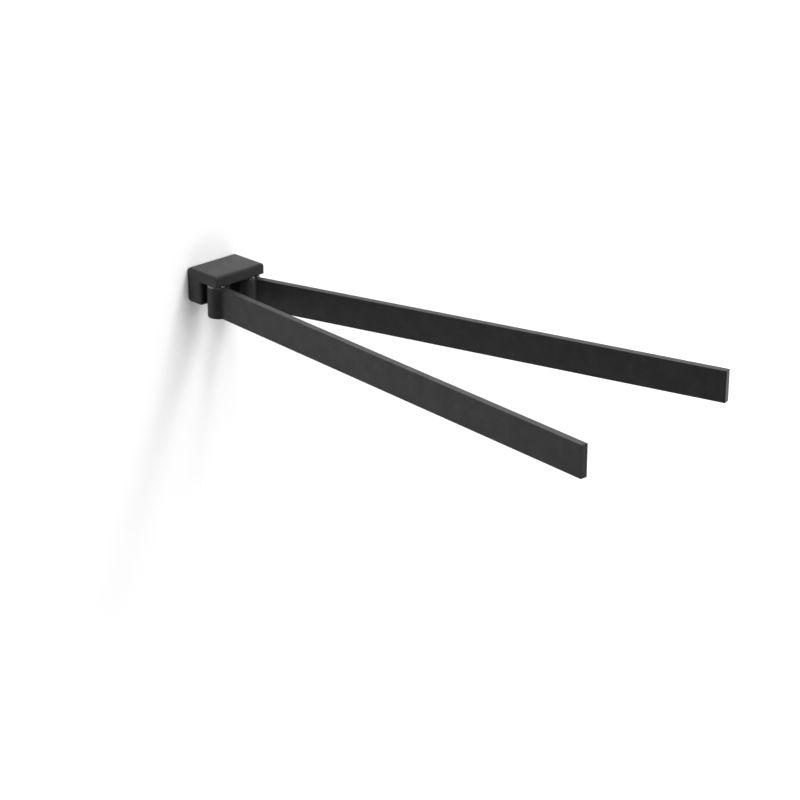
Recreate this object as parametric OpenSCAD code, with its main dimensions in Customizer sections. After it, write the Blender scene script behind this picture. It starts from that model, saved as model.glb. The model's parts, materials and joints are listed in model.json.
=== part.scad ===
// Two-arm swivel towel rack.
// The wall is the plane Y = 0 and the rack reaches out along -Y, with Z up.
// The origin is the middle of the wall plate's back face, half way up the hinge block's leg.

/* [Hinge block] */
// Width of the hinge block along the wall
block_w = 50; // [46:1:60]
// How far the canopy reaches out from the wall
block_d = 35; // [34.5:0.5:37]
// Thickness of the canopy over the knuckles
canopy_t = 9; // [8:0.5:12]
// Height of the leg that stands against the wall
leg_h = 28.5; // [27:0.5:30]
// Thickness of the leg, out from the wall
leg_t = 16; // [12:0.5:16]
// Rounding of the block's upper edges and of the leg's lower edges
edge_r = 2.2; // [1:0.2:2.6]
// Rounding of the canopy's lower front edge
lip_r = 1.2; // [0.8:0.2:2.2]
// Rounding of the canopy's four upright edges
corner_r = 1.1; // [0.5:0.1:2.2]
// Rounding of the leg's two upright front edges
leg_edge_r = 3.5; // [1:0.5:4]

/* [Arms] */
// Length of an arm from its pivot to the tip of the bar
reach = 408.5; // [200:0.5:500]
// Height of the flat bar, which is also the height of its knuckle
bar_h = 25; // [25:1:30]
// Thickness of the flat bar
bar_t = 6; // [4:0.5:8]
// Rounding along the bar's four long edges
bar_edge_r = 0.5; // [0.3:0.1:1]
// Chamfer around the bar's tip
tip_chamfer = 0.3; // [0.2:0.1:1.2]
// Angle of the left arm from straight out, towards the left
left_angle = 4; // [0:1:90]
// Angle of the right arm from straight out, towards the right
right_angle = 16; // [0:1:90]

/* [Pivots] */
// Distance of each pivot from the middle of the block
pivot_x = 16; // [15:0.5:16]
// Distance of the pivots from the wall
pivot_y = 26.5; // [26:0.5:27]
// Diameter of a knuckle
knuckle_d = 18; // [17.5:0.5:18]
// Height of the neck between canopy and knuckle
neck_h = 2; // [1.5:0.1:3]
// Diameter of the pivot pin
pin_d = 6; // [5.5:0.1:6]
// Radial running clearance of the bushes on the pin
run_gap = 0.05; // [0.02:0.01:0.08]

/* [Wall plate] */
// Width of the wall plate
plate_w = 39; // [34:1:40]
// Height of the wall plate at its front face
plate_h = 18; // [16:1:18]
// Thickness of the wall plate
plate_t = 4; // [3:0.5:4.5]
// Distance between the two wall screws
screw_spacing = 26; // [20:1:28]
// Diameter of the holes for the wall screws
screw_hole_d = 4.6; // [4:0.1:5.5]

/* [Hidden] */
$fn = 64;

left = -1;
right = 1;
coat_black = "#2b2c2c";
steel_grey = "#9a9c9f";
spring_grey = "#6f7275";
plate_grey = "#8b8d8f";
nylon_grey = "#3a3b3c";
nylon_white = "#d8d6cf";

cut = 1;                                  // how far cutting shapes pass the faces that they cut
press_gap = 0.02;                         // radial room between parts that are pressed together
face_gap = 0.05;                          // room between flat faces that turn on each other

block_top = leg_h / 2;
leg_bottom = -leg_h / 2;
canopy_bottom = block_top - canopy_t;
knuckle_top = canopy_bottom - neck_h;
knuckle_bottom = knuckle_top - bar_h;
knuckle_r = knuckle_d / 2;
knuckle_chamfer = 0.4;

pin_r = pin_d / 2;
stud_r = 2.5;                             // the pin's upper end, screwed into the canopy
stud_l = 6;
bush_wall = 0.95;
bush_bore_r = pin_r + run_gap;
bush_r = bush_bore_r + bush_wall;
bush_l = 8;
flange_r = 5.7;
flange_t = 1;
counterbore_r = flange_r + 0.05;
counterbore_depth = 8;
counterbore_top = knuckle_bottom + counterbore_depth;
pin_bottom = counterbore_top - 2.2;       // the pin's lower face, on which the retaining washer seats
washer_r = 5.4;
washer_t = 1;
spring_t = 0.5;
spring_rise = 0.6;
top_washer_r = 8.8;
retainer_r = 2;                           // the M4 retaining screw's shank
retainer_l = 9;
retainer_head_r = 3.6;
retainer_head_h = 2.2;
socket_depth = 1.4;                       // depth of the hexagon sockets in the screws
cap_t = 1.4;
cap_skirt = 2;
cap_wall = 0.8;
cap_dish_r = 3.4;
cap_dish_depth = 0.4;

seat_x = 7;                               // the bar's inner end, in a slot in the knuckle
bar_pin_r = 1.5;
bar_pin_start = 4.5;
bar_pin_l = 12.5;
bar_pin_z = [knuckle_top - 5, knuckle_top - 14.5];

plate_undercut = 2;                       // how much lower the plate is at the wall, above and below
plate_gap = 0.3;
recess_w = plate_w + 2;
recess_depth = 7.5;
recess_bottom = -10;
grub_r = 1.95;
grub_point_r = 1;
grub_y = -3;
grub_l = 4.15;
grub_top = -plate_h / 2 - face_gap;
grub_cone_h = 0.95;

// ---- shared shapes ----

// A rectangle from one corner to the other, with its four corners rounded
module rounded_rect(low, high, r) {
    size = high - low;
    translate(low + [r, 0]) square([size.x - 2 * r, size.y]);
    translate(low + [0, r]) square([size.x, size.y - 2 * r]);
    for (x = [low.x + r, high.x - r], y = [low.y + r, high.y - r])
        translate([x, y]) circle(r);
}

// Extrudes an outline drawn in Y and Z along X, centred on X = 0
module along_x(length) {
    rotate([90, 0, 90])
        translate([0, 0, -length / 2]) linear_extrude(length) children();
}

// Extrudes an outline drawn in X and Z along Y, from y_low to y_high
module along_y(y_low, y_high) {
    translate([0, y_high, 0])
        rotate([90, 0, 0]) linear_extrude(y_high - y_low) children();
}

module ring(inner_r, outer_r, z_low, height) {
    difference() {
        translate([0, 0, z_low]) cylinder(h = height, r = outer_r);
        translate([0, 0, z_low - cut]) cylinder(h = height + 2 * cut, r = inner_r);
    }
}

module hexagon_socket(across_flats, z_low, depth) {
    translate([0, 0, z_low])
        cylinder(h = depth, r = across_flats / sqrt(3), $fn = 6);
}

// Moves a shape to the left or right pivot, standing upright
module at_pivot(side) {
    translate([side * pivot_x, -pivot_y, 0]) children();
}

// Moves a shape to a pivot and turns its +X along that arm
module on_arm(side) {
    angle = side == left ? -90 - left_angle : -90 + right_angle;
    at_pivot(side) rotate([0, 0, angle]) children();
}

// ---- hinge block and wall fixing ----

// A slab of the block between the wall and y = -depth, from z_low up to the block's top.
// low_r rounds its lower front edge and front_r its upright front edges
module block_slab(depth, z_low, low_r, front_r) {
    half_w = block_w / 2;
    intersection() {
        along_x(block_w + 2 * cut)
            rounded_rect([-depth, z_low], [0, block_top], low_r);
        along_x(block_w + 2 * cut)
            rounded_rect([-depth, leg_bottom - block_d], [0, block_top], edge_r);
        translate([0, 0, z_low - cut]) linear_extrude(block_top - z_low + 2 * cut) union() {
            rounded_rect([-half_w, -depth], [half_w, 0], front_r);
            rounded_rect([-half_w, -depth / 2], [half_w, 0], corner_r);
        }
        along_y(-depth - cut, cut)
            rounded_rect([-half_w, leg_bottom], [half_w, block_top], edge_r);
    }
}

module block_body() {
    block_slab(leg_t, leg_bottom, edge_r, leg_edge_r);
    block_slab(block_d, canopy_bottom, lip_r, corner_r);
}

// The recess in the back of the leg, undercut above so that it hooks over the wall plate
module plate_recess() {
    hook = plate_h / 2 + plate_gap;
    along_x(recess_w) polygon([
        [cut, recess_bottom],
        [cut, hook - plate_undercut],
        [0, hook - plate_undercut],
        [-plate_t, hook],
        [-recess_depth, hook],
        [-recess_depth, recess_bottom],
    ]);
}

module hinge_block() {
    color(coat_black) difference() {
        block_body();
        plate_recess();
        for (side = [left, right])
            at_pivot(side) translate([0, 0, canopy_bottom - cut])
                cylinder(h = stud_l + cut + 0.2, r = stud_r + press_gap);
        translate([0, grub_y, leg_bottom - cut])
            cylinder(h = leg_h / 2 + recess_bottom + 2 * cut, r = grub_r + face_gap);
    }
}

module wall_plate() {
    color(plate_grey) difference() {
        along_x(plate_w) polygon([
            [0, -plate_h / 2 + plate_undercut],
            [0, plate_h / 2 - plate_undercut],
            [-plate_t, plate_h / 2],
            [-plate_t, -plate_h / 2],
        ]);
        for (x = [-screw_spacing / 2, screw_spacing / 2])
            translate([x, cut, 0]) rotate([90, 0, 0])
                cylinder(h = plate_t + 2 * cut, d = screw_hole_d);
    }
}

module grub_screw() {
    color(steel_grey) translate([0, grub_y, 0]) difference() {
        union() {
            translate([0, 0, grub_top - grub_l])
                cylinder(h = grub_l - grub_cone_h, r = grub_r);
            translate([0, 0, grub_top - grub_cone_h])
                cylinder(h = grub_cone_h, r1 = grub_r, r2 = grub_point_r);
        }
        hexagon_socket(2, grub_top - grub_l - cut, cut + socket_depth);
    }
}

// ---- fixed parts of a pivot ----

module pivot_pin(side) {
    color(steel_grey) at_pivot(side) difference() {
        union() {
            translate([0, 0, pin_bottom])
                cylinder(h = canopy_bottom - pin_bottom, r = pin_r);
            translate([0, 0, canopy_bottom]) cylinder(h = stud_l, r = stud_r);
        }
        translate([0, 0, pin_bottom - cut])
            cylinder(h = retainer_l + cut, r = retainer_r + press_gap);
    }
}

module top_washer(side) {
    color(nylon_grey) at_pivot(side)
        ring(pin_r + 0.1, top_washer_r, knuckle_top + face_gap, neck_h - face_gap);
}

// A disc spring: its inner rim bears on the lower bush and its outer rim on the washer
module spring_washer(side) {
    inner_top = pin_bottom + spring_t + spring_rise;
    color(spring_grey) at_pivot(side) rotate_extrude() polygon([
        [pin_r + 0.2, inner_top],
        [pin_r + 0.2, inner_top - spring_t],
        [washer_r, pin_bottom],
        [washer_r, pin_bottom + spring_t],
    ]);
}

module retaining_washer(side) {
    color(steel_grey) at_pivot(side)
        ring(retainer_r + 0.1, washer_r, pin_bottom - washer_t, washer_t);
}

module retaining_screw(side) {
    head_top = pin_bottom - washer_t;
    color(steel_grey) at_pivot(side) difference() {
        union() {
            translate([0, 0, head_top])
                cylinder(h = retainer_l + washer_t - 0.5, r = retainer_r);
            translate([0, 0, head_top - retainer_head_h + 0.6])
                cylinder(h = retainer_head_h - 0.6, r = retainer_head_r);
            translate([0, 0, head_top - retainer_head_h])
                cylinder(h = 0.6, r1 = retainer_head_r - 0.6, r2 = retainer_head_r);
        }
        hexagon_socket(2.5, head_top - retainer_head_h - cut, cut + socket_depth);
    }
}

// ---- parts of an arm, with +X along the bar ----

module knuckle(side) {
    color(coat_black) on_arm(side) difference() {
        rotate_extrude() polygon([
            [0, knuckle_bottom],
            [knuckle_r - knuckle_chamfer, knuckle_bottom],
            [knuckle_r, knuckle_bottom + knuckle_chamfer],
            [knuckle_r, knuckle_top - knuckle_chamfer],
            [knuckle_r - knuckle_chamfer, knuckle_top],
            [0, knuckle_top],
        ]);
        translate([0, 0, knuckle_bottom - cut])
            cylinder(h = bar_h + 2 * cut, r = bush_r + press_gap);
        translate([0, 0, knuckle_bottom - cut])
            cylinder(h = counterbore_depth + cut, r = counterbore_r);
        translate([0, 0, knuckle_top - flange_t])
            cylinder(h = flange_t + cut, r = counterbore_r);
        translate([seat_x, -bar_t / 2 - press_gap, knuckle_bottom - cut])
            cube([knuckle_r, bar_t + 2 * press_gap, bar_h + 2 * cut]);
        for (z = bar_pin_z)
            translate([bar_pin_start - 0.1, 0, z]) rotate([0, 90, 0])
                cylinder(h = knuckle_r, r = bar_pin_r + press_gap);
    }
}

// The plan, side and end views of the bar, each extruded and then intersected
module bar_body() {
    half_t = bar_t / 2;
    intersection() {
        translate([0, 0, knuckle_bottom - cut]) linear_extrude(bar_h + 2 * cut) polygon([
            [seat_x, -half_t],
            [reach - tip_chamfer, -half_t],
            [reach, -half_t + tip_chamfer],
            [reach, half_t - tip_chamfer],
            [reach - tip_chamfer, half_t],
            [seat_x, half_t],
        ]);
        along_y(-bar_t, bar_t) polygon([
            [seat_x, knuckle_bottom],
            [reach - tip_chamfer, knuckle_bottom],
            [reach, knuckle_bottom + tip_chamfer],
            [reach, knuckle_top - tip_chamfer],
            [reach - tip_chamfer, knuckle_top],
            [seat_x, knuckle_top],
        ]);
        along_x(2 * reach + 2 * cut)
            rounded_rect([-half_t, knuckle_bottom], [half_t, knuckle_top], bar_edge_r);
    }
}

module bar(side) {
    color(coat_black) on_arm(side) difference() {
        bar_body();
        for (z = bar_pin_z)
            translate([bar_pin_start, 0, z]) rotate([0, 90, 0])
                cylinder(h = bar_pin_l + 0.1, r = bar_pin_r + press_gap);
    }
}

module bar_pins(side) {
    color(steel_grey) on_arm(side) for (z = bar_pin_z)
        translate([bar_pin_start, 0, z]) rotate([0, 90, 0])
            cylinder(h = bar_pin_l, r = bar_pin_r);
}

module upper_bush(side) {
    color(nylon_white) on_arm(side) union() {
        ring(bush_bore_r, bush_r, knuckle_top - bush_l, bush_l);
        ring(bush_bore_r, flange_r, knuckle_top - flange_t, flange_t);
    }
}

module lower_bush(side) {
    color(nylon_white) on_arm(side) union() {
        ring(bush_bore_r, bush_r, counterbore_top - flange_t, bush_l + flange_t);
        ring(bush_bore_r, flange_r, counterbore_top - flange_t, flange_t);
    }
}

module knuckle_cap(side) {
    cap_r = counterbore_r - press_gap;
    color(nylon_grey) on_arm(side) difference() {
        translate([0, 0, knuckle_bottom]) cylinder(h = cap_t + cap_skirt, r = cap_r);
        translate([0, 0, knuckle_bottom + cap_t])
            cylinder(h = cap_skirt + cut, r = cap_r - cap_wall);
        translate([0, 0, knuckle_bottom - cut])
            cylinder(h = cut + cap_dish_depth, r = cap_dish_r);
    }
}

hinge_block();
wall_plate();
grub_screw();
pivot_pin(left);  // left_pivot_pin
top_washer(left);  // left_top_washer
spring_washer(left);  // left_spring_washer
retaining_washer(left);  // left_retaining_washer
retaining_screw(left);  // left_retaining_screw
pivot_pin(right);  // right_pivot_pin
top_washer(right);  // right_top_washer
spring_washer(right);  // right_spring_washer
retaining_washer(right);  // right_retaining_washer
retaining_screw(right);  // right_retaining_screw
knuckle(left);  // left_knuckle
bar(left);  // left_bar
bar_pins(left);  // left_bar_pins
upper_bush(left);  // left_upper_bush
lower_bush(left);  // left_lower_bush
knuckle_cap(left);  // left_knuckle_cap
knuckle(right);  // right_knuckle
bar(right);  // right_bar
bar_pins(right);  // right_bar_pins
upper_bush(right);  // right_upper_bush
lower_bush(right);  // right_lower_bush
knuckle_cap(right);  // right_knuckle_cap
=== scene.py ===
import json
import math

import bmesh
import bpy
from mathutils import Matrix, Vector


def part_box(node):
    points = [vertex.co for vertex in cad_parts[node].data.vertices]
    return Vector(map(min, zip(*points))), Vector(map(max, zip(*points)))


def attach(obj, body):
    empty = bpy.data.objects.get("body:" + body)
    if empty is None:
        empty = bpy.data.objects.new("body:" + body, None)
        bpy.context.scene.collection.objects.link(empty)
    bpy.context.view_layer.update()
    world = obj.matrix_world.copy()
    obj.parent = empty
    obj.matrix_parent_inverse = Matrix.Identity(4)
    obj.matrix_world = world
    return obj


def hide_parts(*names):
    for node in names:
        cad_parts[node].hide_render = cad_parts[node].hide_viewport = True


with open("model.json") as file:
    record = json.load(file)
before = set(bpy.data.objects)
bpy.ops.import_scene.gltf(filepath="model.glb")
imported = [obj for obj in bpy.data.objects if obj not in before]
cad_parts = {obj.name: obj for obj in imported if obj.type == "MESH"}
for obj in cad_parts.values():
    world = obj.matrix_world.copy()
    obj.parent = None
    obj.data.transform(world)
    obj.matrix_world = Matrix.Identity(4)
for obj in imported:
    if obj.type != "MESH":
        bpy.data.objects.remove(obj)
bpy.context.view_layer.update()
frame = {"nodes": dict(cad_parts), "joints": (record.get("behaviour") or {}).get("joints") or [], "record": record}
print("frame loaded:", len(frame["nodes"]), "nodes")


# camera, at about eye height over the wall fixing and off to its left

cameraSetup = {
    "azimuth": 44.69,  # degrees from straight at the wall, round to the left
    "elevation": 22.65,  # degrees above the level
    "place": (-1.14944, -1.37581, 0.63884),  # metres from the wall fixing
    "lens": 106.69,
    "sensor": 36.0,
    "nearest": 0.05,
}


def makeCamera(setup):
    data = bpy.data.cameras.new("camera")
    data.lens = setup["lens"]
    data.sensor_width = setup["sensor"]
    data.clip_start = setup["nearest"]
    camera = bpy.data.objects.new("camera", data)
    bpy.context.scene.collection.objects.link(camera)
    camera.location = setup["place"]
    camera.rotation_euler = (
        math.radians(90 - setup["elevation"]),
        0,
        math.radians(-setup["azimuth"]),
    )
    bpy.context.scene.camera = camera


makeCamera(cameraSetup)
print("camera placed")


# shader maths

class Wire:
    # a node socket with arithmetic: each operator adds one Math node
    def __init__(self, socket):
        self.socket = socket
        self.tree = socket.id_data

    @staticmethod
    def add(tree, kind, settings=None, sockets=None, output=0):
        node = tree.nodes.new(kind)
        for name, value in (settings or {}).items():
            if name == "stops":
                fillRamp(node.color_ramp, value)
            else:
                setattr(node, name, value)
        for name, value in (sockets or {}).items():
            if isinstance(value, Wire):
                tree.links.new(value.socket, node.inputs[name])
            else:
                node.inputs[name].default_value = value
        return Wire(node.outputs[output]) if len(node.outputs) else None

    def math(self, operation, first, second):
        return Wire.add(
            self.tree, "ShaderNodeMath", {"operation": operation}, {0: first, 1: second}
        )

    def __add__(self, other):
        return self.math("ADD", self, other)

    def __radd__(self, other):
        return self.math("ADD", other, self)

    def __sub__(self, other):
        return self.math("SUBTRACT", self, other)

    def __rsub__(self, other):
        return self.math("SUBTRACT", other, self)

    def __mul__(self, other):
        return self.math("MULTIPLY", self, other)

    def __rmul__(self, other):
        return self.math("MULTIPLY", other, self)


def fillRamp(ramp, stops):
    while len(ramp.elements) < len(stops):
        ramp.elements.new(0.5)
    for element, (position, level) in zip(ramp.elements, stops):
        element.position = position
        element.color = (level, level, level, 1)


def grey(level, tint=(1, 1, 1)):
    return (level * tint[0], level * tint[1], level * tint[2], 1)


def newMaterial(name):
    material = bpy.data.materials.new(name)
    material.use_nodes = True
    material.node_tree.nodes.clear()
    return material, material.node_tree


def closeMaterial(tree, sockets):
    shader = Wire.add(tree, "ShaderNodeBsdfPrincipled", {}, sockets)
    Wire.add(tree, "ShaderNodeOutputMaterial", {}, {"Surface": shader})


def place(tree):
    # a point's place on its piece, in metres
    return Wire.add(tree, "ShaderNodeTexCoord", output="Object")


def noise(tree, spots, detail=2.0, roughness=0.5, where=None):
    # spots is how many lumps there are in one metre
    return Wire.add(
        tree,
        "ShaderNodeTexNoise",
        {},
        {
            "Vector": where or place(tree),
            "Scale": spots,
            "Detail": detail,
            "Roughness": roughness,
        },
    )


def ramp(tree, value, stops):
    return Wire.add(tree, "ShaderNodeValToRGB", {"stops": stops}, {"Fac": value})


def mixColours(tree, mask, first, second):
    # sockets 6 and 7 and output 2 are the Mix node's colours
    return Wire.add(
        tree, "ShaderNodeMix", {"data_type": "RGBA"}, {0: mask, 6: first, 7: second}, 2
    )


def turningLines(tree, where, lines, detail, roughness=0.5):
    # fine lines round the upright axis, so many to the metre
    height = Wire.add(tree, "ShaderNodeSeparateXYZ", {}, {0: where}, "Z")
    return Wire.add(
        tree,
        "ShaderNodeTexNoise",
        {"noise_dimensions": "1D"},
        {"W": height, "Scale": lines, "Detail": detail, "Roughness": roughness},
    )


def bump(tree, height, depth, under=None):
    sockets = {"Height": height, "Distance": depth, "Strength": 1.0}
    if under:
        sockets["Normal"] = under
    return Wire.add(tree, "ShaderNodeBump", {}, sockets)


def edgeMask(tree):
    return Wire.add(tree, "ShaderNodeAttribute", {"attribute_name": "edge"}, output="Fac")


# finishes

blackCoat = {
    "colour": grey(0.015, (0.98, 1.0, 0.99)),
    "cloudColour": grey(0.019),
    "wearAndHighlightColour": grey(0.026, (1.0, 1.0, 0.99)),  # lighter along the edges: worn coat and a painted highlight
    "roughness": 0.42,
    "roughnessSpread": 0.07,
    "edgePolish": 0.05,  # how much smoother the edges are
    "refraction": 1.3,
    "cloudSpots": 14,
    "edgePatchSpots": 90,
    "edgePatchStops": [(0.42, 0), (0.66, 1)],
    "speckleStops": [(0.38, 0), (0.72, 1)],
    "peelSpots": 620,  # orange peel
    "peelDepth": 0.00002,
    "grainSpots": 3600,  # grain of the powder
    "grainDepth": 0.000006,
}


def makeBlackCoat(values):
    material, tree = newMaterial("blackPowderCoat")
    cloud = noise(tree, values["cloudSpots"], detail=3)
    grain = noise(tree, values["grainSpots"], detail=2, roughness=0.6)
    peel = noise(tree, values["peelSpots"], detail=1.5)
    edgePatches = ramp(
        tree, noise(tree, values["edgePatchSpots"], detail=4, roughness=0.65), values["edgePatchStops"]
    )
    # worn coat and painted highlight: the coat is lighter along the edges, in noisy patches
    wearAndHighlightEdge = edgeMask(tree) * (0.35 + 0.65 * edgePatches)
    speckle = ramp(tree, grain, values["speckleStops"])
    body = mixColours(
        tree, 0.3 * speckle + 0.25 * cloud, values["colour"], values["cloudColour"]
    )
    colour = mixColours(tree, wearAndHighlightEdge, body, values["wearAndHighlightColour"])
    spread = values["roughnessSpread"]
    rough = values["roughness"] + spread * (cloud + grain - 1) - values["edgePolish"] * wearAndHighlightEdge
    skin = bump(tree, grain, values["grainDepth"], under=bump(tree, peel, values["peelDepth"]))
    closeMaterial(
        tree,
        {"Base Color": colour, "Roughness": rough, "Normal": skin, "IOR": values["refraction"]},
    )
    return material


washerPlastic = {
    "colour": grey(0.012),
    "hazeColour": grey(0.017, (1, 1, 1.02)),
    "roughness": 0.2,
    "refraction": 1.6,
    "polish": 0.12,  # roughness of the polished skin
    "hazeSpots": 260,
    "lines": 2600,
    "lineDepth": 0.000008,
}


def makeWasherPlastic(values):
    material, tree = newMaterial("blackAcetal")
    turning = turningLines(tree, place(tree), values["lines"], 3.0)
    haze = noise(tree, values["hazeSpots"], detail=3)
    colour = mixColours(tree, haze, values["colour"], values["hazeColour"])
    rough = values["roughness"] + 0.12 * (haze - 0.5) + 0.05 * edgeMask(tree)
    closeMaterial(
        tree,
        {
            "Base Color": colour,
            "Roughness": rough,
            "Normal": bump(tree, turning, values["lineDepth"]),
            "IOR": values["refraction"],
            "Coat Weight": 1.0,
            "Coat Roughness": values["polish"],
            "Coat IOR": values["refraction"],
        },
    )
    return material


capPlastic = {
    "colour": grey(0.018),
    "flowColour": grey(0.034),
    "roughness": 0.5,
    "refraction": 1.46,
    "flowSpots": 70,
    "sparkSpots": 2400,  # the fine grain of the mould
    "sparkDepth": 0.00001,
}


def makeCapPlastic(values):
    material, tree = newMaterial("blackMouldedPlastic")
    spark = noise(tree, values["sparkSpots"], detail=3, roughness=0.7)
    flow = noise(tree, values["flowSpots"], detail=4)
    worn = edgeMask(tree)
    colour = mixColours(
        tree, 0.4 * flow + 0.3 * worn, values["colour"], values["flowColour"]
    )
    rough = values["roughness"] + 0.14 * (spark - 0.5) - 0.08 * worn
    closeMaterial(
        tree,
        {
            "Base Color": colour,
            "Roughness": rough,
            "Normal": bump(tree, spark, values["sparkDepth"]),
            "IOR": values["refraction"],
        },
    )
    return material


steelPits = {"spots": 2200, "stops": [(0.6, 0), (0.75, 1)]}


def makeSteel(name, values):
    # turned or plated metal: fine lines, with a soft stain and small pits over them
    material, tree = newMaterial(name)
    where = place(tree)
    lines = turningLines(tree, where, values["lines"], 4.0, 0.7)
    stain = noise(tree, values["stainSpots"], detail=4, roughness=0.6, where=where)
    pits = ramp(tree, noise(tree, steelPits["spots"], where=where), steelPits["stops"])
    colour = mixColours(tree, 0.7 * stain + 0.3 * pits, values["colour"], values["dull"])
    rough = values["roughness"] + 0.16 * (stain - 0.5) + 0.1 * (lines - 0.5) + 0.1 * pits
    closeMaterial(
        tree,
        {
            "Base Color": colour,
            "Metallic": 1.0,
            "Roughness": rough,
            "Normal": bump(tree, lines - 0.6 * pits, values["lineDepth"]),
        },
    )
    return material


pinSteel = {
    "colour": grey(0.58, (1, 1, 1.01)),
    "dull": grey(0.42, (1.02, 1, 0.97)),
    "roughness": 0.26,
    "lines": 5200,
    "lineDepth": 0.000006,
    "stainSpots": 180,
}
springSteel = {
    "colour": grey(0.2, (0.98, 1, 1.06)),
    "dull": grey(0.11, (1.08, 1, 0.92)),
    "roughness": 0.36,
    "lines": 3000,
    "lineDepth": 0.000004,
    "stainSpots": 320,
}
platedSteel = {
    "colour": grey(0.62, (1.0, 1.01, 1.03)),
    "dull": grey(0.47, (1.03, 1.01, 0.93)),
    "roughness": 0.3,
    "lines": 900,
    "lineDepth": 0.000005,
    "stainSpots": 120,
}

bushPlastic = {
    "colour": grey(0.62, (1, 0.97, 0.89)),
    "flowColour": grey(0.5, (1, 0.95, 0.84)),
    "roughness": 0.42,
    "flowSpots": 240,
    "mottleSpots": 1500,
    "mottleDepth": 0.00001,
}


def makeBushPlastic(values):
    material, tree = newMaterial("naturalNylon")
    flow = noise(tree, values["flowSpots"], detail=4)
    mottle = noise(tree, values["mottleSpots"])
    colour = mixColours(tree, flow, values["colour"], values["flowColour"])
    rough = values["roughness"] + 0.1 * (mottle - 0.5)
    closeMaterial(
        tree,
        {
            "Base Color": colour,
            "Roughness": rough,
            "Normal": bump(tree, mottle, values["mottleDepth"]),
        },
    )
    return material


finishes = {
    "black_coat": makeBlackCoat(blackCoat),
    "washer_plastic": makeWasherPlastic(washerPlastic),
    "cap_plastic": makeCapPlastic(capPlastic),
    "bush_plastic": makeBushPlastic(bushPlastic),
    "pin_steel": makeSteel("turnedSteel", pinSteel),
    "spring_steel": makeSteel("springSteel", springSteel),
    "plated_steel": makeSteel("zincPlatedSteel", platedSteel),
}
print("finishes made:", len(finishes))


# meshes

def newPiece(name, mesh):
    piece = bpy.data.objects.new(name, mesh)
    bpy.context.scene.collection.objects.link(piece)
    return piece


def meshFrom(name, builder, turn=None):
    mesh = bpy.data.meshes.new(name)
    shape = bmesh.new()
    builder(shape)
    bmesh.ops.recalc_face_normals(shape, faces=shape.faces)
    if turn:
        bmesh.ops.transform(shape, matrix=turn, verts=shape.verts)
    shape.to_mesh(mesh)
    shape.free()
    return mesh


def applyModifiers(piece):
    graph = bpy.context.evaluated_depsgraph_get()
    mesh = bpy.data.meshes.new_from_object(piece.evaluated_get(graph))
    piece.modifiers.clear()
    piece.data = mesh


def markEdges(piece, bend=4):
    # edge is 1 where a surface turns by more than bend degrees, and 0 on the flats
    shape = bmesh.new()
    shape.from_mesh(piece.data)
    shape.normal_update()
    turned = [
        any(
            edge.is_manifold and edge.calc_face_angle(0) > math.radians(bend)
            for edge in vertex.link_edges
        )
        for vertex in shape.verts
    ]
    shape.free()
    layer = piece.data.attributes.new("edge", "FLOAT", "POINT")
    layer.data.foreach_set("value", [float(t) for t in turned])


def softenNormals(piece, sharp=50):
    piece.data.shade_smooth()
    piece.data.set_sharp_from_angle(angle=math.radians(sharp))
    modifier = piece.modifiers.new("evenNormals", "WEIGHTED_NORMAL")
    modifier.keep_sharp = True
    modifier.weight = 100


def dress(piece, body, slot, *nodes):
    piece.data.materials.clear()
    piece.data.materials.append(finishes[slot])
    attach(piece, body)
    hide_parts(*nodes)
    return piece


def arcPoints(centre, radius, start, end, steps):
    # points on an arc, angles in degrees
    points = []
    for step in range(steps + 1):
        angle = math.radians(start + (end - start) * step / steps)
        points.append(
            (centre[0] + radius * math.cos(angle), centre[1] + radius * math.sin(angle))
        )
    return points


def lathe(outline, sides=96):
    # turns a closed outline of (radius, height) points round the upright axis
    def builder(shape):
        rings = []
        for side in range(sides):
            angle = 2 * math.pi * side / sides
            rings.append(
                [shape.verts.new((r * math.cos(angle), r * math.sin(angle), z)) for r, z in outline]
            )
        for side in range(sides):
            ring, following = rings[side], rings[(side + 1) % sides]
            for i in range(len(outline)):
                j = (i + 1) % len(outline)
                shape.faces.new((ring[i], following[i], following[j], ring[j]))

    return builder


def loft(sections):
    # joins rings of points, all with the same count, into a skin with closed ends
    def builder(shape):
        rings = [[shape.verts.new(point) for point in section] for section in sections]
        for ring, following in zip(rings, rings[1:]):
            for i in range(len(ring)):
                j = (i + 1) % len(ring)
                shape.faces.new((ring[i], ring[j], following[j], following[i]))
        shape.faces.new(rings[0])
        shape.faces.new(reversed(rings[-1]))

    return builder


# hinge block

hingeBlock = {
    "sideRadius": 0.0022,  # along the upper edges and the leg's lower ones
    "lipRadius": 0.0012,  # along the canopy's lower front edge
    "cornerRadius": 0.0011,  # upright, at the canopy's four corners
    "legRadius": 0.0035,  # upright, at the leg's front
    "underRadius": 0.0004,  # under the canopy's sides
    "segments": 6,
    "canopyThickness": 0.009,
    "legThickness": 0.016,
    "recessDepth": 0.0075,
    "recessSideGap": 0.001,
    "recessFloor": -0.010,
    "hookGap": 0.0003,
    "hookSlope": 0.002,
    "grubRadius": 0.002,
    "grubSides": 48,
    "overcut": 0.001,  # how far a cutting shape reaches past what it cuts
}


def blockShell(shape, low, high, values):
    # the L seen from the side, then its bevel weights as shares of the largest radius
    under = high.z - values["canopyThickness"]
    front = -values["legThickness"]
    outline = [
        (high.y, low.z), (high.y, high.z), (low.y, high.z),
        (low.y, under), (front, under), (front, low.z),
    ]
    sides = [[shape.verts.new((x, y, z)) for y, z in outline] for x in (low.x, high.x)]
    shape.faces.new(sides[0])
    shape.faces.new(reversed(sides[1]))
    for i in range(len(outline)):
        j = (i + 1) % len(outline)
        shape.faces.new((sides[0][j], sides[0][i], sides[1][i], sides[1][j]))
    weights = shape.edges.layers.float.new("bevel_weight_edge")
    for edge in shape.edges:
        edge[weights] = blockEdgeRadius(edge, low, high, under, front, values) / values["legRadius"]


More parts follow.
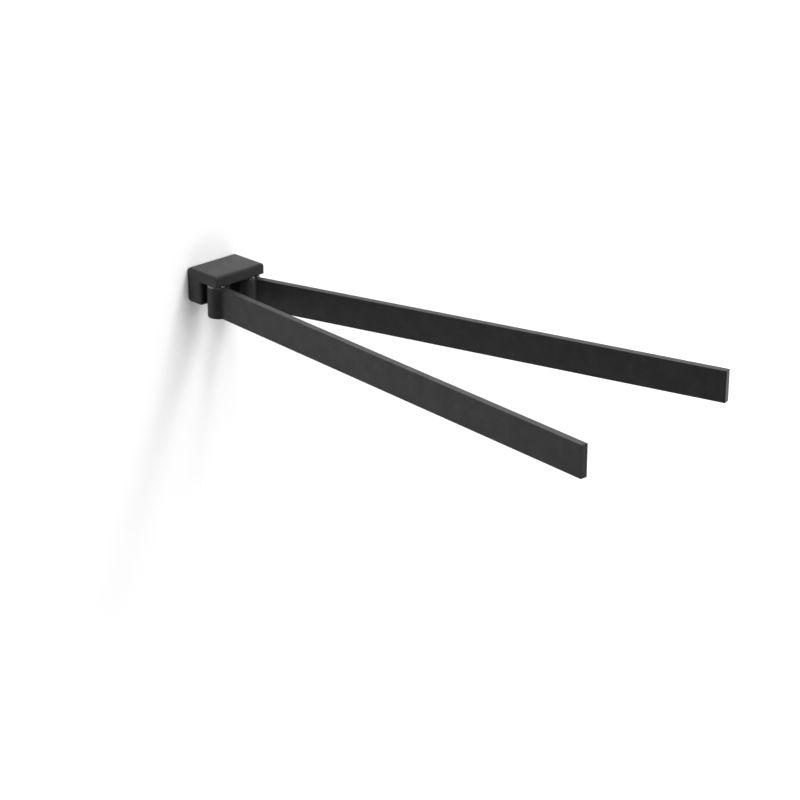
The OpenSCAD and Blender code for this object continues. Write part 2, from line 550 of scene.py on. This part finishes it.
def blockEdgeRadius(edge, low, high, under, front, values):
    first, second = (vertex.co for vertex in edge.verts)
    along = first - second
    small = 0.000001

    def both(axis, value):
        return abs(first[axis] - value) < small and abs(second[axis] - value) < small

    if both(1, front) and both(2, under):
        return 0  # the inner corner is square
    if abs(along.x) > small:
        return values["lipRadius"] if both(2, under) else values["sideRadius"]
    if abs(along.z) > small:
        return values["legRadius"] if both(1, front) else values["cornerRadius"]
    return values["underRadius"] if both(2, under) else values["sideRadius"]


def cutter(name, builder):
    piece = newPiece(name, meshFrom(name, builder))
    piece.hide_render = True
    return piece


def recessShape(values, plateLow, plateHigh):
    side = plateHigh.x + values["recessSideGap"]
    hook = plateHigh.z + values["hookGap"]
    slope = values["hookSlope"]
    depth, past = values["recessDepth"], values["overcut"]
    outline = [
        (past, values["recessFloor"]), (past, hook - slope), (0, hook - slope),
        (plateLow.y, hook), (-depth, hook), (-depth, values["recessFloor"]),
    ]
    return loft([[(x, y, z) for y, z in outline] for x in (-side, side)])


def makeHingeBlock(values):
    low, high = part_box("hinge_block")
    plateLow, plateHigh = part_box("wall_plate")
    grubLow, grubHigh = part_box("grub_screw")
    mesh = meshFrom("hingeBlock", lambda shape: blockShell(shape, low, high, values))
    piece = newPiece("hingeBlock", mesh)
    bevel = piece.modifiers.new("rounding", "BEVEL")
    bevel.limit_method = "WEIGHT"
    bevel.offset_type = "OFFSET"
    bevel.width = values["legRadius"]
    bevel.segments = values["segments"]
    recess = cutter("recessCutter", recessShape(values, plateLow, plateHigh))
    middle, sides, past = (grubLow + grubHigh) / 2, values["grubSides"], values["overcut"]
    circle = arcPoints((middle.x, middle.y), values["grubRadius"], 0, 360, sides)[:-1]
    levels = (low.z - past, values["recessFloor"] + past)
    hole = cutter("grubCutter", loft([[(x, y, z) for x, y in circle] for z in levels]))
    for tool in (recess, hole):
        cut = piece.modifiers.new("cut", "BOOLEAN")
        cut.operation = "DIFFERENCE"
        cut.solver = "EXACT"
        cut.object = tool
    applyModifiers(piece)
    for tool in (recess, hole):
        bpy.data.objects.remove(tool)
    markEdges(piece)
    softenNormals(piece)
    return dress(piece, "bracket", "black_coat", "hinge_block")


makeHingeBlock(hingeBlock)
print("hinge block made")


# arms

arm = {
    "barThickness": 0.006,
    "edgeRadius": 0.0005,
    "edgeSteps": 4,
    "tipSoftening": 0.0003,
    "tipSteps": 3,
    "tipBand": 0.0005,  # the frame's points this near its end count as its tip
    "tipSlack": 0.00001,  # keeps the rounded tip inside the frame's own
    "seat": 0.0072,  # where the bar's end is hidden in the knuckle
    "filletReach": 0.0012,  # the coat fills the corner between knuckle and bar
    "filletRise": 0.00072,
    "filletStart": 0.0003,  # inside the knuckle's skin
    "filletSteps": 5,
    "sunk": 0.00012,  # keeps the bar's end off the knuckle's flat ends
    "panels": 24,
    "knuckleEdge": 0.00045,
    "knuckleEdgeSteps": 5,
    "rimRadius": 0.0002,
    "boreRadius": 0.00402,
    "counterboreRadius": 0.00575,
    "counterboreDepth": 0.008,
    "flangeDepth": 0.001,
}


def jointPlace(name):
    joint = next(j for j in frame["joints"] if j["name"] == name)
    return Vector(joint["pos_m"])


def armTurn(side, values):
    # the matrix from the arm's own axes, +X along the bar, to the rack's, and the arm's reach
    pivot = jointPlace(side + "_swing")
    points = [vertex.co for vertex in frame["nodes"][side + "_bar"].data.vertices]
    flat = [Vector((p.x - pivot.x, p.y - pivot.y)) for p in points]
    furthest = max(p.length for p in flat)
    tip = [p for p in flat if p.length > furthest - values["tipBand"]]
    middle = sum(tip, Vector((0, 0))) / len(tip)
    angle = math.atan2(middle.y, middle.x)
    reach = max(p.dot(middle.normalized()) for p in flat) - values["tipSlack"]
    turn = Matrix.Translation((pivot.x, pivot.y, 0)) @ Matrix.Rotation(angle, 4, "Z")
    return turn, reach


def knuckleRadius(side):
    low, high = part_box(side + "_knuckle")
    return (high.y - low.y) / 2


def barSection(x, halfThick, low, high, inset, values):
    # the bar cut across: a slim upright rectangle with rounded corners
    radius = max(values["edgeRadius"] - inset, 0.0001)
    y, bottom, top = halfThick - inset, low + inset, high - inset
    corners = [
        ((y - radius, top - radius), 0), ((-y + radius, top - radius), 90),
        ((-y + radius, bottom + radius), 180), ((y - radius, bottom + radius), 270),
    ]
    points = []
    for centre, start in corners:
        points += arcPoints(centre, radius, start, start + 90, values["edgeSteps"])
    return [(x, py, pz) for py, pz in points]


def barStations(reach, knuckleRadius, values):
    # (distance from the pivot, half thickness, inset) from the knuckle to the tip
    half = values["barThickness"] / 2
    skin = math.sqrt(knuckleRadius**2 - half**2)
    root = skin - values["filletStart"]
    stations = [(values["seat"], half, values["sunk"])]
    for step in range(values["filletSteps"] + 1):
        share = step / values["filletSteps"]
        flare = values["filletRise"] * (1 - math.sin(share * math.pi / 2))
        inset = values["sunk"] * max(0, 1 - 2.5 * share)
        stations.append((root + share * values["filletReach"], half + flare, inset))
    start, soft = stations[-1][0], values["tipSoftening"]
    for panel in range(1, values["panels"]):
        stations.append((start + (reach - soft - start) * panel / values["panels"], half, 0))
    for step in range(values["tipSteps"] + 1):
        angle = step / values["tipSteps"] * math.pi / 2
        stations.append(
            (reach - soft + soft * math.sin(angle), half, soft * (1 - math.cos(angle)))
        )
    return stations


def makeBar(side, values):
    low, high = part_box(side + "_bar")
    turn, reach = armTurn(side, values)
    stations = barStations(reach, knuckleRadius(side), values)
    sections = [barSection(x, half, low.z, high.z, inset, values) for x, half, inset in stations]
    piece = newPiece(side + "Bar", meshFrom(side + "Bar", loft(sections), turn))
    markEdges(piece)
    softenNormals(piece, 60)
    return dress(piece, side + "_arm", "black_coat", side + "_bar")


def knuckleOutline(bottom, top, radius, values):
    edge, steps, rim = values["knuckleEdge"], values["knuckleEdgeSteps"], values["rimRadius"]
    bore, wide = values["boreRadius"], values["counterboreRadius"]
    roof = bottom + values["counterboreDepth"]
    floor = top - values["flangeDepth"]
    return (
        [(wide + rim, bottom)]
        + arcPoints((radius - edge, bottom + edge), edge, -90, 0, steps)
        + arcPoints((radius - edge, top - edge), edge, 0, 90, steps)
        + [(wide + rim, top), (wide, top - rim), (wide, floor), (bore, floor)]
        + [(bore, roof), (wide, roof), (wide, bottom + rim)]
    )


def makeKnuckle(side, values):
    low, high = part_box(side + "_knuckle")
    pivot = jointPlace(side + "_swing")
    outline = knuckleOutline(low.z, high.z, knuckleRadius(side), values)
    turn = Matrix.Translation((pivot.x, pivot.y, 0))
    piece = newPiece(side + "Knuckle", meshFrom(side + "Knuckle", lathe(outline), turn))
    markEdges(piece, 6)
    softenNormals(piece)
    return dress(piece, side + "_arm", "black_coat", side + "_knuckle")


topWasher = {
    "rounding": 0.0003,
    "roundingSteps": 4,
    "pinGap": 0.0001,  # round the pivot pin
}


def ringOutline(inner, outer, bottom, top, values):
    rounding, steps = values["rounding"], values["roundingSteps"]
    return (
        [(inner, bottom)]
        + arcPoints((outer - rounding, bottom + rounding), rounding, -90, 0, steps)
        + arcPoints((outer - rounding, top - rounding), rounding, 0, 90, steps)
        + [(inner, top)]
    )


def makeTopWasher(side, values):
    low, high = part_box(side + "_top_washer")
    pinLow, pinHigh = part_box(side + "_pivot_pin")
    pivot = jointPlace(side + "_swing")
    outer, inner = (high.x - low.x) / 2, (pinHigh.x - pinLow.x) / 2 + values["pinGap"]
    outline = ringOutline(inner, outer, low.z, high.z, values)
    turn = Matrix.Translation((pivot.x, pivot.y, 0))
    piece = newPiece(side + "TopWasher", meshFrom(side + "TopWasher", lathe(outline), turn))
    markEdges(piece, 6)
    softenNormals(piece)
    return dress(piece, "bracket", "washer_plastic", side + "_top_washer")


knuckleCap = {
    "plate": 0.0014,
    "wall": 0.0008,
    "rounding": 0.0004,
    "dishRadius": 0.0034,
    "dishDepth": 0.0004,
    "gateRadius": 0.0007,  # the mark left in the middle by the mould
    "centre": 0.00002,  # the outline stops just short of its own axis
    "roundingSteps": 4,
    "sides": 72,
}


def capOutline(radius, bottom, top, values):
    rounding, dish = values["rounding"], values["dishDepth"]
    plate, gate = bottom + values["plate"], values["gateRadius"]
    centre, steps = values["centre"], values["roundingSteps"]
    return (
        [(centre, bottom + dish * 0.8), (gate, bottom + dish * 0.8), (gate, bottom + dish)]
        + [(values["dishRadius"] - dish, bottom + dish), (values["dishRadius"], bottom)]
        + arcPoints((radius - rounding, bottom + rounding), rounding, -90, 0, steps)
        + [(radius, top), (radius - values["wall"], top)]
        + [(radius - values["wall"], plate), (centre, plate)]
    )


def makeKnuckleCap(side, values):
    low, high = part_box(side + "_knuckle_cap")
    pivot = jointPlace(side + "_swing")
    outline = capOutline((high.x - low.x) / 2, low.z, high.z, values)
    turn = Matrix.Translation((pivot.x, pivot.y, 0))
    shape = lathe(outline, values["sides"])
    piece = newPiece(side + "KnuckleCap", meshFrom(side + "KnuckleCap", shape, turn))
    markEdges(piece, 6)
    softenNormals(piece)
    return dress(piece, side + "_arm", "cap_plastic", side + "_knuckle_cap")


for side in ("left", "right"):
    makeBar(side, arm)
    makeKnuckle(side, arm)
    makeTopWasher(side, topWasher)
    makeKnuckleCap(side, knuckleCap)
print("arms made")


# the pieces inside keep the frame's own shapes

def dressFrameNodes():
    slots = {part["node"]: part["material_slot"] for part in frame["record"]["subparts"]}
    shown = 0
    for name, piece in frame["nodes"].items():
        piece.data.materials.clear()
        piece.data.materials.append(finishes[slots[name]])
        shown += not piece.hide_render
    return shown


print("inner parts dressed:", dressFrameNodes())


# wall, floor and light

stageSetup = {
    "wallHalf": 3.0,
    "wallGap": 0.0003,  # behind the block
    "floorDrop": 1.15,
    "wallColour": grey(0.98),
    "wallPaintedLight": 0.24,  # painted light: the wall glows, more away from the rack, standing in for lamp light so it stays clean white to the corners
    "paintedLightStops": [(0.12, 0), (0.9, 1)],  # metres from the wall fixing over which the painted light fades in
    "paintSpots": 6,
    "floorColour": grey(0.8),
    "holeMargin": 0.003,
    "worldStrength": 0.07,
}

# softboxes on a sphere round the rack: turn is degrees to the right of straight in front
studioLights = {
    "front": {"turn": 3, "rise": 5, "far": 2.3, "wide": 0.6, "tall": 0.6, "power": 4.6},
    "towerBase": {"turn": 16, "rise": -20, "far": 2.2, "wide": 0.75, "tall": 0.9, "power": 2.2},
    "towerLow": {"turn": 16, "rise": 6, "far": 2.4, "wide": 0.75, "tall": 0.8, "power": 5.4},
    "towerMiddle": {"turn": 16, "rise": 25, "far": 2.4, "wide": 0.75, "tall": 0.8, "power": 6.4},
    "towerHigh": {"turn": 17, "rise": 46, "far": 2.4, "wide": 0.75, "tall": 0.9, "power": 24.0},
    "overhead": {"turn": 10, "rise": 75, "far": 2.4, "wide": 0.6, "tall": 0.6, "power": 6.5},
    "canopy": {"turn": 6, "rise": 64, "far": 2.1, "wide": 1.2, "tall": 1.2, "power": 8.5},
    "rightHigh": {"turn": 40, "rise": 60, "far": 2.4, "wide": 0.5, "tall": 0.5, "power": 16.5},
    "leftHigh": {"turn": -25, "rise": 60, "far": 2.4, "wide": 0.5, "tall": 0.5, "power": 4.5},
    "rightLow": {"turn": 71, "rise": -20, "far": 2.0, "wide": 1.2, "tall": 1.2, "power": 4.6},
    "below": {"turn": 7, "rise": -54, "far": 1.36, "wide": 1.2, "tall": 1.2, "power": 0.8},
}


def makeOneSided(name, colour, paintedLight, setup):
    # solid from the front and clear from the back, with painted light that grows away from the rack
    material, tree = newMaterial(name)
    cloud = noise(tree, setup["paintSpots"], detail=3)
    tone = mixColours(tree, cloud, colour, grey(colour[0] * 0.985))
    distance = Wire.add(
        tree, "ShaderNodeVectorMath", {"operation": "LENGTH"}, {0: place(tree)}, "Value"
    )
    paintedLightShare = ramp(tree, distance, setup["paintedLightStops"])
    paint = Wire.add(
        tree,
        "ShaderNodeBsdfPrincipled",
        {},
        {
            "Base Color": tone,
            "Roughness": 0.9,
            "Specular IOR Level": 0.0,
            # painted light: the wall glows, more so away from the rack
            "Emission Color": mixColours(tree, paintedLightShare, grey(0), grey(paintedLight)),
            "Emission Strength": 1.0,
        },
    )
    clear = Wire.add(tree, "ShaderNodeBsdfTransparent")
    back = Wire.add(tree, "ShaderNodeNewGeometry", output="Backfacing")
    both = Wire.add(tree, "ShaderNodeMixShader", {}, {0: back, 1: paint, 2: clear})
    Wire.add(tree, "ShaderNodeOutputMaterial", {}, {"Surface": both})
    return material


def wallShape(half, floorDrop, hole):
    # a wide wall round the hole that the block hides
    def builder(shape):
        xs = (-half, hole[0], hole[1], half)
        zs = (-floorDrop, hole[2], hole[3], half)
        grid = [[shape.verts.new((x, 0, z)) for x in xs] for z in zs]
        for row in range(3):
            for column in range(3):
                if (row, column) != (1, 1):
                    shape.faces.new((
                        grid[row][column], grid[row][column + 1],
                        grid[row + 1][column + 1], grid[row + 1][column],
                    ))

    return builder


def makeWall(setup):
    low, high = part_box("hinge_block")
    margin = setup["holeMargin"]
    hole = (low.x + margin, high.x - margin, low.z + margin, high.z - margin)
    mesh = meshFrom("wall", wallShape(setup["wallHalf"], setup["floorDrop"], hole))
    if mesh.polygons[0].normal.y > 0:
        mesh.flip_normals()
    paint = makeOneSided("wallPaint", setup["wallColour"], setup["wallPaintedLight"], setup)
    mesh.materials.append(paint)
    wall = newPiece("wall", mesh)
    wall.location.y = setup["wallGap"]


def makeFloor(setup):
    def builder(shape):
        half, level = setup["wallHalf"], -setup["floorDrop"]
        corners = [(-half, -half), (half, -half), (half, half), (-half, half)]
        shape.faces.new([shape.verts.new((x, y, level)) for x, y in corners])

    mesh = meshFrom("floor", builder)
    if mesh.polygons[0].normal.z < 0:
        mesh.flip_normals()
    mesh.materials.append(makeOneSided("floorPaint", setup["floorColour"], 0.0, setup))
    newPiece("floor", mesh)


def makeSoftbox(name, values):
    data = bpy.data.lights.new(name, "AREA")
    data.shape = "RECTANGLE"
    data.size = values["wide"]
    data.size_y = values["tall"]
    data.energy = values["power"]
    light = bpy.data.objects.new(name, data)
    bpy.context.scene.collection.objects.link(light)
    turn, rise = math.radians(values["turn"]), math.radians(values["rise"])
    toward = Vector((
        math.sin(turn) * math.cos(rise), -math.cos(turn) * math.cos(rise), math.sin(rise),
    ))
    light.location = toward * values["far"]
    light.rotation_euler = toward.to_track_quat("Z", "Y").to_euler()


def makeLights(softboxes, worldStrength):
    for name, values in softboxes.items():
        makeSoftbox(name, values)
    world = bpy.data.worlds.new("studio")
    bpy.context.scene.world = world
    world.use_nodes = True
    background = world.node_tree.nodes["Background"]
    background.inputs["Color"].default_value = grey(1.0)
    background.inputs["Strength"].default_value = worldStrength


makeWall(stageSetup)
makeFloor(stageSetup)
makeLights(studioLights, stageSetup["worldStrength"])
bpy.context.scene.view_settings.view_transform = "Standard"
print("stage set")
